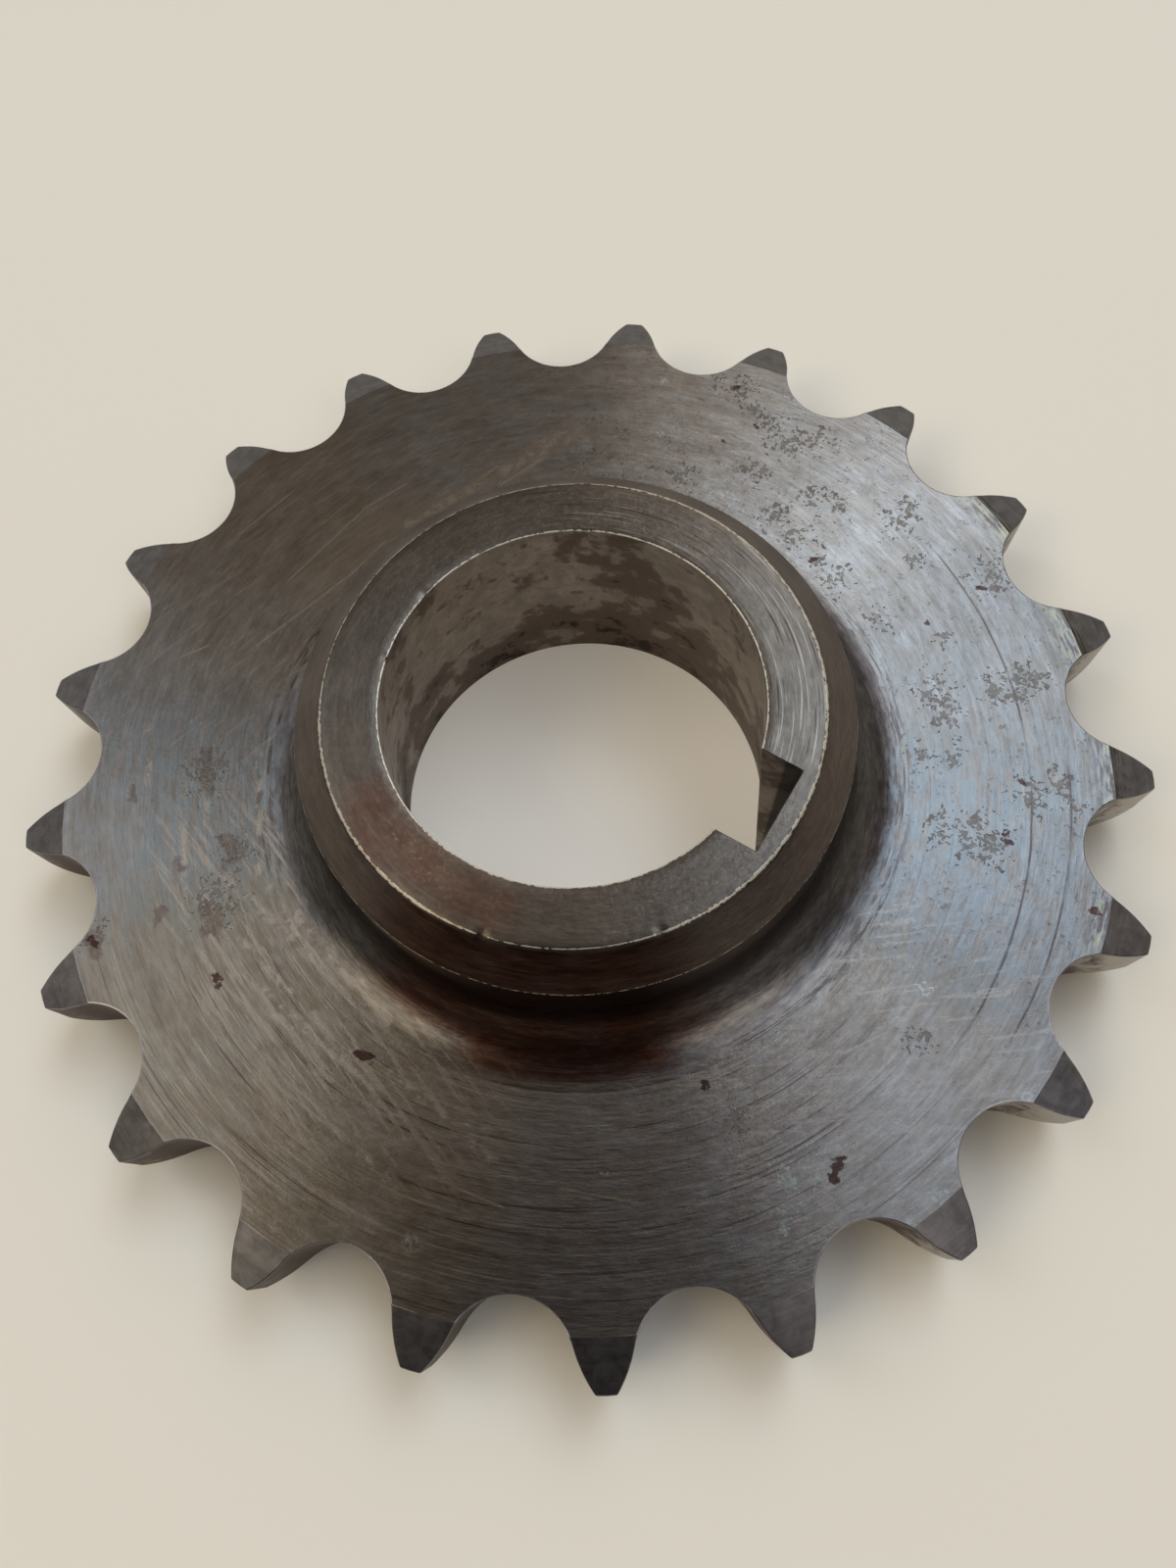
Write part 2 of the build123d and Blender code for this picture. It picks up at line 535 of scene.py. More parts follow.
def rim(f, r, z, width, wearAndGlint):
    # Thin line along an edge at radius r and height z, as wide as its wear, partly a painted highlight
    fromEdge = {0: maths(f.tree, "SUBTRACT", f.out, r), 1: maths(f.tree, "SUBTRACT", f.height, z)}
    reach = vectorMaths(f.tree, "LENGTH", addNode(f.tree, "CombineXYZ", fromEdge).outputs[0])["Value"]
    return maths(f.tree, "LESS_THAN", reach, maths(f.tree, "MULTIPLY", wearAndGlint, width))


def scaled(tree, color, lightness):
    grey = addNode(tree, "CombineXYZ", {0: lightness, 1: lightness, 2: lightness}).outputs[0]
    return mixColors(tree, 1.0, color, grey, "MULTIPLY")


def coat(f, factor, color, blend="MIX"):
    # Laid over what is painted so far, in one of the finish's own colors or in a mixed one
    color = f.look[color] if isinstance(color, str) else color
    f.paint = mixColors(f.tree, factor, f.paint, color, blend)


def setFinish(f, rough, relief):
    # The relief is in millimetres
    bump = addNode(f.tree, "Bump", {"Strength": 1.0, "Distance": mm, "Height": relief})
    for name, value in (("Base Color", f.paint), ("Roughness", rough), ("Normal", bump.outputs[0])):
        f.tree.links.new(value, f.shader.inputs[name])
    return f.material


def findPlaces(f):
    # Each is 1 on one part of the steel and 0 on the rest
    tree, out, height, back, front, face = f.tree, f.out, f.height, f.back, f.front, f.face
    underHub = ramp(tree, height, front + 0.2, front + 0.02)
    f.onPlate = times(tree, underHub, ramp(tree, height, front - 0.8, front - 0.2))
    f.onFace = ramp(tree, height, face - 0.25, face - 0.1)
    withinFillet = ramp(tree, out, f.filletEnd + 0.3, f.filletEnd - 0.9)
    f.onHub = times(tree, withinFillet, ramp(tree, height, front - 0.2, front - 0.01))
    f.onCone = times(tree, f.onHub, ramp(tree, height, face - 0.1, face - 0.3))
    f.lowOnHub = times(tree, f.onHub, ramp(tree, height, front + 4.2, front + 1.7))
    f.onWall = times(
        tree,
        ramp(tree, height, front - 0.05, front - 0.2),
        ramp(tree, height, back + 0.05, back + 0.2),
        ramp(tree, out, 37.0, 37.5),
    )


def paintBase(f, marks):
    # Plate, then the hub's face, its cone and wall, and the fillet
    tree, s = f.tree, f.look
    shift = timesPlus(tree, f.dashes, 0.6, maths(tree, "MULTIPLY", f.blotch, 0.4))
    f.paint = mixColors(tree, ramp(tree, shift, 0.38, 0.62), s["warmColor"], s["coolColor"])
    coat(f, f.onHub, mixColors(tree, f.onCone, s["hubColor"], s["coneColor"]))
    coat(f, f.lowOnHub, "filletColor")
    film = times(tree, spots(tree, f.flat, marks["hubFilm"]), f.onFace)
    coat(f, times(tree, film, ramp(tree, f.mottle, 0.3, 0.62, 1.0, 0.6)), "hubFilmColor")
    filmFlecks = times(tree, film, ramp(tree, f.grain, 0.55, 0.66), ramp(tree, f.blotch, 0.42, 0.55))
    coat(f, times(tree, filmFlecks, f.cover["hubFlecks"]), "hubFleckColor")


def paintGrimeAndShade(f):
    # Dark rings in the fillet, a painted shade in its hollow on two sides with some dirt; and low on the hub
    # on one side, spilling over the fillet's edge, painted shade mixed with oily dirt
    tree, out, end = f.tree, f.out, f.filletEnd
    inFillet = times(tree, ramp(tree, out, end - 2.4, end - 1.2), ramp(tree, out, end + 0.3, end - 0.3))
    inFillet = times(tree, inFillet, f.onHub, ramp(tree, f.mottle, 0.35, 0.6, f.cover["darkFillet"], 0.7))
    around = highest(tree, zone(f, "darkFilletRight"), times(tree, zone(f, "darkFilletLeft"), 0.6))
    # Painted shade in the fillet's hollow
    coat(f, times(tree, inFillet, around), "darkColor")
    low = times(tree, zone(f, "grime"), ramp(tree, out, end - 1.0, end - 2.8))
    spill = times(tree, zone(f, "grimeSpill"), ramp(tree, out, end + 0.8, end))
    oilyAndShaded = times(tree, highest(tree, low, spill), f.onCone, ramp(tree, f.bands, 0.25, 0.7, 0.95, 0.7))
    coat(f, oilyAndShaded, mixColors(tree, f.lowOnHub, f.look["grimeColor"], f.look["lowGrimeColor"]))


def paintLightness(f):
    # The turning lines lighten and darken it, and a few broad zones on the plate, the hub's face and the
    # fillet are lightened as painted highlights
    tree = f.tree
    pale = highest(tree, zone(f, "palePlateRight"), times(tree, zone(f, "palePlateTop"), 0.7))
    pale = highest(tree, times(tree, pale, f.onPlate), times(tree, f.onFace, zone(f, "paleFace"), 0.5))
    brushed = ramp(tree, f.dashes, 0.4, 0.6, 0.9, 1.08)
    brushed = times(tree, brushed, ramp(tree, f.flecks, 0.38, 0.62, 0.94, 1.06))
    lightness = times(
        tree,
        timesPlus(tree, f.fine, 0.3, 0.85),
        ramp(tree, f.flecks, 0.34, 0.68, 0.92, 1.12),
        ramp(tree, f.dashes, 0.38, 0.64, 0.94, 1.08),
        timesPlus(tree, f.bands, 0.5, 0.75),
        timesPlus(tree, f.blotch, 0.4, 0.8),
        timesPlus(tree, pale, 0.28, 1.0),
        timesPlus(tree, times(tree, zone(f, "paleFillet"), f.lowOnHub), 0.5, 1.0),
        timesPlus(tree, maths(tree, "SUBTRACT", brushed, 1.0), f.lowOnHub, 1.0),
    )
    f.paint = scaled(tree, f.paint, lightness)


def paintSheen(f):
    # Painted reflections on the plate: a bluish sheen on two sides, and a warm cast over the reflections in a
    # few zones
    tree = f.tree
    sheen = times(tree, highest(tree, zone(f, "sheenLeft"), zone(f, "sheenRight")), f.onPlate)
    sheen = times(tree, sheen, ramp(tree, f.out, 41.0, 33.0, 0.3, 1.0))
    coat(f, times(tree, sheen, ramp(tree, f.dashes, 0.42, 0.58, 0.1, 0.8)), "sheenColor")
    warmCast = highest(tree, zone(f, "oiledLow"), times(tree, zone(f, "oiledLeft"), 0.8))
    warmCast = highest(tree, warmCast, times(tree, zone(f, "oiledRight"), 0.6))
    coat(f, times(tree, warmCast, f.onPlate), "warmCastTint", "MULTIPLY")


def paintWalls(f):
    # The teeth's walls are browner where the oil runs, and paler on one side, partly burnished and partly a
    # painted reflection of the lit floor
    tree, s = f.tree, f.look
    browned = timesPlus(tree, zone(f, "stainedWalls"), 0.3, f.mottle)
    browned = timesPlus(tree, ramp(tree, f.out, 43.5, 40.0), 0.25, browned)
    # The paler side is partly a painted reflection of the lit floor
    walls = mixColors(tree, zone(f, "paleWalls"), s["wallColor"], s["wallBurnishedAndLitColor"])
    coat(f, f.onWall, mixColors(tree, ramp(tree, browned, 0.6, 0.85), walls, s["wallStainColor"]))


def paintLines(f):
    # Turning scratches, strongest low on the plate and high on the hub's face
    tree, out = f.tree, f.out
    scored = times(tree, f.onPlate, zone(f, "scoredPlate"))
    scored = highest(tree, scored, times(tree, f.onFace, zone(f, "scoredFace"), 1.5))
    scored = timesPlus(tree, scored, 0.22, 0.08)
    coat(f, times(tree, scored, ramp(tree, f.cuts, 0.60, 0.68)), "scoredColor")
    coat(f, times(tree, scored, ramp(tree, f.cuts, 0.38, 0.31), 2.2), "darkColor")

    # Dark lines beside the groove round the fillet, a painted shade along its step
    groove = f.shape["grooveRadius"]
    inner = ramp(tree, out, groove - 1.2, groove - 0.7)
    beside = times(tree, inner, ramp(tree, out, groove + 0.7, groove - 0.1), f.onPlate)
    beside = times(tree, beside, highest(tree, zone(f, "grooveRight"), zone(f, "grooveLeft")))
    coat(f, times(tree, beside, ramp(tree, f.fine, 0.5, 0.42), f.cover["grooveLines"]), "darkColor")

    # Scribed circles, not quite round
    circles = []
    for name, r in f.look["scribes"].items():
        gap = timesPlus(tree, f.bands, 0.3, maths(tree, "SUBTRACT", out, r + 0.15))
        line = ramp(tree, maths(tree, "ABSOLUTE", gap), 0.13, 0.04)
        circles.append(times(tree, line, zone(f, name), ramp(tree, f.blotch, 0.4, 0.5, 0.4, 1.0)))
    coat(f, times(tree, highest(tree, *circles), f.onPlate, f.cover["scribes"]), "darkColor")


def paintStrokes(f, marks):
    # Wiped hairlines, then rubbed bands, brown stains, pale streaks and straight scratches
    tree, flat, cover = f.tree, f.flat, f.cover
    lines = {name: hairlines(f, name) for name in f.look["hairlines"]}
    lower = times(tree, zone(f, "wipedLower"), ramp(tree, f.out, 38.0, 30.0))
    wiped = highest(
        tree,
        times(tree, zone(f, "wipedUpper"), ramp(tree, lines["upper"], 0.58, 0.64), 0.35),
        times(tree, lower, ramp(tree, lines["lower"], 0.53, 0.61), 0.6),
        times(tree, zone(f, "wipedRight"), ramp(tree, lines["right"], 0.55, 0.63), 0.5),
    )
    coat(f, times(tree, wiped, f.onPlate), "streakColor")
    rubbed = times(tree, strokes(tree, flat, marks["rubbed"]), f.onPlate, cover["rubbed"])
    coat(f, times(tree, rubbed, ramp(tree, lines["upper"], 0.4, 0.62, 0.35, 1.0)), "rubbedColor")
    stains = ramp(tree, strokes(tree, f.ragged, marks["stains"]), 0.1, 0.5)
    stains = times(tree, stains, f.onPlate, cover["stains"])
    coat(f, times(tree, stains, ramp(tree, f.grain, 0.35, 0.5, 0.5, 1.0)), "stainColor")
    streaks = times(tree, strokes(tree, flat, marks["streaks"]), f.onPlate, cover["streaks"])
    coat(f, times(tree, streaks, ramp(tree, f.mottle, 0.45, 0.58, 0.05, 1.0)), "streakColor")
    scratches = times(tree, strokes(tree, flat, marks["scratches"]), f.onPlate, cover["scratches"])
    coat(f, times(tree, scratches, ramp(tree, f.grain, 0.3, 0.5, 0.4, 1.0)), "streakColor")


def paintRust(f, marks):
    # Lacy flakes of old rust with darker edges and a pale halo, partly a painted highlight where their edges
    # catch light, pinholes, rust spots, pale chips
    tree, cover = f.tree, f.cover
    patch = spots(tree, f.flat, marks["flakes"])
    f.texture = timesPlus(tree, f.grain, 0.6, maths(tree, "MULTIPLY", f.mottle, 0.4))
    lace = timesPlus(tree, patch, 0.1, f.texture)
    nearPatch = times(tree, ramp(tree, patch, 0.0, 0.12), f.onPlate)
    # The pale halo is partly a painted highlight along the flakes' edges
    coat(f, times(tree, ramp(tree, lace, 0.575, 0.60), nearPatch, cover["flakeHalos"]), "chipColor")
    f.flaked = times(tree, ramp(tree, lace, 0.603, 0.622), nearPatch)
    coat(f, times(tree, f.flaked, cover["flakes"]), "flakeColor")
    edge = times(tree, ramp(tree, lace, 0.597, 0.608), ramp(tree, lace, 0.632, 0.618), nearPatch)
    pinholes = times(tree, ramp(tree, f.texture, 0.585, 0.61), zone(f, "pinholes"), f.onPlate)
    dark = highest(tree, times(tree, edge, cover["flakeEdges"]), times(tree, pinholes, cover["pinholes"]))
    redder = ramp(tree, f.blotch, 0.5, 0.58)
    coat(f, dark, mixColors(tree, redder, f.look["darkColor"], f.look["flakeRustColor"]))
    rust = timesPlus(tree, f.grain, 0.8, spots(tree, f.ragged, marks["rust"]))
    coat(f, times(tree, ramp(tree, rust, 0.75, 0.95), f.onPlate, cover["rust"]), "rustColor")
    chips = ramp(tree, spots(tree, f.ragged, marks["chips"]), 0.1, 0.5)
    coat(f, times(tree, chips, ramp(tree, f.grain, 0.45, 0.6), f.onPlate, cover["chips"]), "chipColor")


def paintEdges(f):
    # Both rims of the hub's face and the cone's edge are rubbed bright in places, partly bare metal and
    # partly a painted highlight, dimmed on two sides
    tree, shape, widths = f.tree, f.shape, f.look["rimWidths"]
    wearAndGlint = ramp(tree, f.texture, 0.4, 0.55, 0.3, 1.0)
    unlitRim = highest(tree, zone(f, "dulledLow"), zone(f, "dulledLeft"))
    outerWearAndGlint = times(tree, wearAndGlint, timesPlus(tree, unlitRim, -0.55, 1.0))
    faceRadius = shape["hubRadius"] - shape["hubChamferWidth"]
    faceRim = rim(f, faceRadius + 0.02, f.face - 0.02, widths["face"], outerWearAndGlint)
    coneRim = rim(f, shape["hubRadius"] - 0.02, f.face - shape["hubChamferHeight"], widths["cone"], wearAndGlint)
    f.worn = highest(tree, faceRim, coneRim)
    coat(f, f.worn, "rimColor")
    boreRim = rim(f, shape["boreFrontRadius"] + 0.02, f.face - 0.01, widths["bore"], wearAndGlint)
    coat(f, boreRim, "brightColor")
    f.worn = highest(tree, f.worn, boreRim)

    # Yellowish burrs beside the bevels, with dark between them
    byBevel = times(tree, ramp(tree, f.out, 38.8, 40.4), zone(f, "burredPlate"), f.onPlate)
    coat(f, times(tree, byBevel, ramp(tree, f.flecks, 0.48, 0.42), f.cover["betweenBurrs"]), "darkColor")
    coat(f, times(tree, byBevel, ramp(tree, f.flecks, 0.53, 0.58), f.cover["burrs"]), "burrColor")


def makeTurnedSteel(s, marks, shape):
    f = turnedSurface("turnedSteel", s, shape)
    tree = f.tree
    for name in ("fine", "flecks", "dashes", "cuts", "bands"):
        setattr(f, name, turnedNoise(f, name))
    for name in ("blotch", "mottle", "grain"):
        setattr(f, name, evenNoise(f, name))

    # The place shifted to and fro, which makes a round mark ragged
    shift = s["raggedness"]
    sideways = addNode(tree, "CombineXYZ", {0: f.mottle, 1: f.blotch}).outputs[0]
    warped = vectorMaths(tree, "MULTIPLY_ADD", sideways, (2 * shift, 2 * shift, 0), f.flat)[0]
    f.ragged = vectorMaths(tree, "SUBTRACT", warped, (shift, shift, 0))[0]

    findPlaces(f)
    paintBase(f, marks)
    paintGrimeAndShade(f)
    paintLightness(f)
    paintSheen(f)
    paintWalls(f)
    paintLines(f)
    paintStrokes(f, marks)
    paintRust(f, marks)
    paintEdges(f)

    rough = timesPlus(tree, f.mottle, 0.12, s["roughness"] - 0.06)
    for name, extra in s["rougher"].items():
        rough = timesPlus(tree, getattr(f, name), extra, rough)
    relief = 0.0
    for name, depth in s["relief"].items():
        relief = timesPlus(tree, getattr(f, name), depth, relief)
    return setFinish(f, rough, relief)


def makeWornBevel(s, shape):
    # Bevels and filed edges, rubbed unevenly, with painted highlights on two sides
    f = turnedSurface("wornBevel", s, shape)
    tree = f.tree
    fine = turnedNoise(f, "fine")
    hatch = turnedNoise(f, "hatch")
    mottle = evenNoise(f, "bevelMottle")
    # Painted highlights on the bevels on two sides
    bevelHighlight = highest(tree, zone(f, "polishedRight"), times(tree, zone(f, "polishedLeft"), 0.7))
    lightness = times(tree, timesPlus(tree, fine, 0.5, 0.75), ramp(tree, mottle, 0.3, 0.7, 0.8, 1.2))
    f.paint = scaled(tree, s["bevelColor"], times(tree, lightness, timesPlus(tree, bevelHighlight, 0.9, 1.0)))

    # Burrs left along the inner edges of a few front bevels, pale over dark
    outerEnd = ramp(tree, timesPlus(tree, mottle, 3.0, f.out), 43.6, 42.2)
    frontFoot = f.front - shape["bevelDepth"]
    inFront = ramp(tree, f.height, frontFoot - 0.1, frontFoot + 0.1)
    burred = times(tree, zone(f, "burredBevels"), outerEnd, inFront)
    coat(f, times(tree, burred, ramp(tree, hatch, 0.5, 0.44), f.cover["bevelBurrs"]), "darkColor")
    coat(f, times(tree, burred, ramp(tree, hatch, 0.54, 0.6), f.cover["bevelBurrs"]), "burrColor")
    rough = timesPlus(tree, mottle, 0.12, s["roughness"] - 0.02)
    return setFinish(f, rough, maths(tree, "MULTIPLY", maths(tree, "ADD", fine, mottle), s["bevelRelief"]))


def makeBoreSteel(s, shape):
    # Dull bore under a film of oil with soft brown blotches, thickest low down; the keyway is darker still, a
    # painted shade in the slot
    f = turnedSurface("boreSteel", s, shape)
    tree = f.tree
    blotches = turnedNoise(f, "boreBlotches")
    streaks = turnedNoise(f, "boreStreaks")
    mottle = evenNoise(f, "boreMottle")
    grain = evenNoise(f, "grain")
    lightness = times(
        tree,
        timesPlus(tree, streaks, 0.3, 0.85),
        ramp(tree, mottle, 0.3, 0.7, 0.75, 1.25),
        timesPlus(tree, grain, 0.3, 0.85),
    )
    f.paint = scaled(tree, s["boreColor"], lightness)
    sunk = timesPlus(tree, mottle, 0.35, maths(tree, "MULTIPLY", blotches, 0.65))
    sunk = timesPlus(tree, ramp(tree, f.height, 12.0, 1.0), 0.1, sunk)
    stain = ramp(tree, sunk, 0.5, 0.57)
    coat(f, times(tree, stain, f.cover["boreStains"]), "boreStainColor")
    coat(f, ramp(tree, sunk, 0.62, 0.68), "darkStainAndKeywayShadeColor")
    # The keyway is painted near black, a painted shade
    boreBack = shape["boreBackRadius"]
    coat(f, ramp(tree, f.out, boreBack + 0.1, boreBack + 0.4), "darkStainAndKeywayShadeColor")
    wearAndGlint = ramp(tree, grain, 0.35, 0.6, 0.3, 1.0)
    width, depths = s["rimWidths"]["bore"], s["boreRelief"]
    # The bore's rim, rubbed bright and partly a painted highlight
    coat(f, rim(f, shape["boreFrontRadius"] + 0.01, f.face - 0.01, width, wearAndGlint), "brightColor")
    rough = timesPlus(tree, stain, 0.1, s["boreRoughness"])
    relief = timesPlus(tree, streaks, depths["streaks"], maths(tree, "MULTIPLY", grain, depths["grain"]))
    return setFinish(f, rough, relief)


steel = makeTurnedSteel(steelFinish, plateMarks, sprocketShape)
wornBevel = makeWornBevel(steelFinish, sprocketShape)
boreSteel = makeBoreSteel(steelFinish, sprocketShape)
finishes = (steel, wornBevel, boreSteel)
print("materials made")


def makeGapCutter(s, pitchRadius, tipRadius):
    # Roller seat, then on each side a flank tangent to it, out to the tip's corner
    seatRadius = 0.505 * s["rollerDiameter"] + 0.069 * s["rollerDiameter"] ** (1 / 3)
    halfAngle = math.radians(70 - 45 / s["teeth"])
    seatCentre = Vector((pitchRadius - s["rollerDiameter"] / 2 + seatRadius, 0, 0))
    across = Vector((-math.cos(halfAngle), math.sin(halfAngle), 0))
    seatEnd = seatCentre + across * seatRadius
    tipAngle = math.pi / s["teeth"] - math.asin(s["tipFlat"] / 2 / tipRadius)
    tipCorner = Vector((math.cos(tipAngle), math.sin(tipAngle), 0)) * tipRadius
    chord = tipCorner - seatEnd
    flankCentre = seatEnd + across * chord.length_squared / (2 * chord.dot(across))
    flankAngle = (seatEnd - flankCentre).angle(tipCorner - flankCentre)
    mirrored = Vector((1, -1, 1))
    turn = Matrix.Rotation(math.radians(180 / s["teeth"] - s["toothLag"]), 3, "Z")
    below = 1  # the cutter stands out below the plate, above it and past the tips
    above = 4.2
    outside = Vector((4, 0, 0))

    def placed(point):
        return turn @ (point * mm) - Vector((0, 0, below * mm))

    cutter = startVertex("gapCutter", placed(tipCorner))
    for centre, angle, steps in [
        (flankCentre, flankAngle, s["flankSteps"]),
        (seatCentre, -2 * halfAngle, s["seatSteps"]),
        (flankCentre * mirrored, flankAngle, s["flankSteps"]),
    ]:
        bpy.ops.mesh.spin(steps=steps, angle=angle, center=placed(centre), axis=(0, 0, 1))
    otherCorner = tipCorner * mirrored
    drawTo([placed(p) for p in (otherCorner, otherCorner + outside, tipCorner + outside, tipCorner)])
    selectEverything()
    bpy.ops.mesh.remove_doubles(threshold=sameSpot)
    selectEverything()
    bpy.ops.mesh.edge_face_add()
    tall = below + levels(s)[1] + above
    bpy.ops.mesh.extrude_region_move(TRANSFORM_OT_translate={"value": (0, 0, tall * mm)})
    selectEverything()
    bpy.ops.mesh.normals_make_consistent(inside=False)
    turns = s["teeth"] - 1
    angle = 2 * math.pi * turns / s["teeth"]
    bpy.ops.mesh.spin(steps=turns, dupli=True, angle=angle, center=(0, 0, 0), axis=(0, 0, 1))
    return cutter


def makeToothedRing(s, pitchRadius, tipRadius):
    # Bevelled rim, open towards the hub, with its spokes on the middles of the teeth and of the gaps
    back, front, _ = levels(s)
    bevelFoot = tipRadius - s["bevelWidth"]
    corners = [
        (s["seamRadius"], back),
        (bevelFoot, back),
        (tipRadius, back + s["bevelDepth"]),
        (tipRadius, front - s["bevelDepth"]),
        (bevelFoot, front),
        (s["seamRadius"], front),
    ]
    turn = Matrix.Rotation(math.radians(-s["toothLag"]), 3, "Z")
    points = [turn @ (Vector((r, 0, z)) * mm) for r, z in corners]
    ring = startVertex("toothedRing", points[0])
    drawTo(points)
    selectEverything()
    bpy.ops.mesh.edge_face_add()  # the cut needs a closed blank, so there is a wall at the seam for now
    bpy.ops.mesh.delete(type="ONLY_FACE")
    spinRound(s["teeth"] * 4)
    bpy.ops.object.mode_set(mode="OBJECT")
    cutAway(ring, makeGapCutter(s, pitchRadius, tipRadius))
    for finish in finishes:
        ring.data.materials.append(finish)
    editOnly(ring)
    selectEverything()
    bpy.ops.mesh.remove_doubles(threshold=10 * sameSpot)

    # On the flat faces only the spokes to the gaps stay
    step = 2 * math.pi / s["teeth"]
    lag = math.radians(s["toothLag"])

    def looseSpoke(edge):
        flat = len(edge.link_faces) == 2 and all(abs(f.normal.z) > 0.999 for f in edge.link_faces)
        middle = (edge.verts[0].co + edge.verts[1].co) / 2
        turned = (math.atan2(middle.y, middle.x) + lag) / step % 1
        return flat and abs(turned - 0.5) > 0.02

    selectWhere(ring, "EDGE", looseSpoke)
    bpy.ops.mesh.dissolve_edges(use_verts=True)

    seam = s["seamRadius"] + 0.01
    selectWhere(ring, "FACE", lambda f: all(distanceOut(v.co) < seam for v in f.verts))
    bpy.ops.mesh.delete(type="FACE")

    # Every edge of the teeth is broken by hand with a file, but both bevels keep crisp inner edges
    def toothEdge(edge, low, high):
        onTeeth = distanceOut(edge.verts[0].co) > s["seamRadius"] + 1
        return onTeeth and len(edge.link_faces) == 2 and low < edge.calc_face_angle() < high

    gentle, sharp, most = 0.3, 0.45, 4  # angles between faces, in radians
    for low, high, share in ((gentle, sharp, s["creaseShare"]), (sharp, most, 1.0)):
        selectWhere(ring, "EDGE", lambda e: toothEdge(e, low, high))
        bpy.ops.transform.edge_bevelweight(value=share)
    bpy.ops.object.mode_set(mode="OBJECT")
    applyModifier(ring, "BEVEL", limit_method="WEIGHT", width=s["toothEdge"] * mm, segments=2, material=1)
    return ring


def makeHub(s):
    # Half section from the seam on the back round the bore and hub to the seam on the front
    back, front, face = levels(s)
    hub, cone, steps = s["hubRadius"], s["hubRadius"] - s["hubChamferWidth"], s["edgeSteps"]
    quarter = 0.25  # a ring so far down the cone, also for the nicks
    halfGroove = s["grooveWidth"] / 2
    seam = s["seamRadius"] - s["seamGap"]
    corners = [  # radius, height, rounding and its steps
        (seam, back, 0, 0),
        (s["bossRadius"], back, 0, 0),
        (s["bossRadius"], 0, s["bossEdge"], steps),
        (s["boreBackRadius"], 0, s["bossEdge"], steps),
        (s["boreFrontRadius"], face, s["boreEdge"], steps),
        (s["boreFrontRadius"] + s["rimRing"], face, 0, 0),
        (cone - s["rimRing"], face, 0, 0),
        (cone, face, s["faceEdge"], steps),
        (cone + s["hubChamferWidth"] * quarter, face - s["hubChamferHeight"] * quarter, 0, 0),
        (hub, face - s["hubChamferHeight"], s["coneEdge"], steps),
        (hub, front, s["hubFillet"], s["filletSteps"]),
        (s["grooveRadius"] - halfGroove, front, 0, 0),  # the tool left a fine groove round the fillet
        (s["grooveRadius"], front - s["grooveDepth"], 0, 0),
        (s["grooveRadius"] + halfGroove, front, 0, 0),
        (seam, front, 0, 0),
    ]
    points = [Vector((r, 0, z)) * mm for r, z, _, _ in corners]
    piece = startVertex("hub", points[0])
    drawTo(points)
    for point, (_, _, radius, segments) in zip(points, corners):
        if segments:
            roundCorner(piece, point, radius, segments)
    spinRound(s["hubSteps"])
    return piece


def joinRing(ring, hub, heights):
    # Bridged across the plate's back and front
    deselectAll()
    ring.select_set(True)
    hub.select_set(True)
    for finish in finishes:
        hub.data.materials.append(finish)
    bpy.context.view_layer.objects.active = ring
    bpy.ops.object.join()
    ring.name = ring.data.name = "sprocketSteel"
    bpy.ops.object.mode_set(mode="EDIT")
    for height in heights:
        selectWhere(
            ring, "EDGE", lambda e: e.is_boundary and all(abs(v.co.z / mm - height) < 0.01 for v in e.verts)
        )
        bpy.ops.mesh.bridge_edge_loops()
    selectEverything()
    bpy.ops.mesh.normals_make_consistent(inside=False)
    bpy.ops.object.mode_set(mode="OBJECT")
    return ring


def cutKeyway(piece, s):
    # Straight through on +X, with its edges broken
    deselectAll()
    face = levels(s)[2]
    floor, halfWidth = s["keywayFloor"], s["keywayWidth"] / 2
    bpy.ops.mesh.primitive_cube_add(size=mm, location=(floor / 2 * mm, 0, face / 2 * mm))
    key = bpy.context.object
    bpy.ops.object.mode_set(mode="EDIT")
    bpy.ops.transform.resize(value=(floor, s["keywayWidth"], face + 4))
    cutAway(piece, key)
    editOnly(piece)

    def onKeyway(co):
        return abs(abs(co.y / mm) - halfWidth) < 0.01 or abs(co.x / mm - floor) < 0.01

    def keywayEdge(edge):
        near = distanceOut(edge.verts[0].co) < floor + 1
        return near and edge.calc_face_angle() > 0.9 and all(onKeyway(v.co) for v in edge.verts)

    print("keyway edges", selectWhere(piece, "EDGE", keywayEdge))
    bpy.ops.mesh.bevel(offset=s["keywayEdge"] * mm, segments=1, affect="EDGES", material=1)


def nick(piece, x, y, z, side, reach, share):
    # Each push moves less of the edge than the one before
    centre = Vector((x, y, z)) * mm
    push = (Vector((x, y, 0)).normalized() * side - Vector((0, 0, 1))) * mm * reach * share
    for part in (1.0, 0.75, 0.5):
        selectWhere(piece, "VERT", lambda v: (v.co - centre).length < reach * part * mm)
        bpy.ops.transform.translate(value=push)


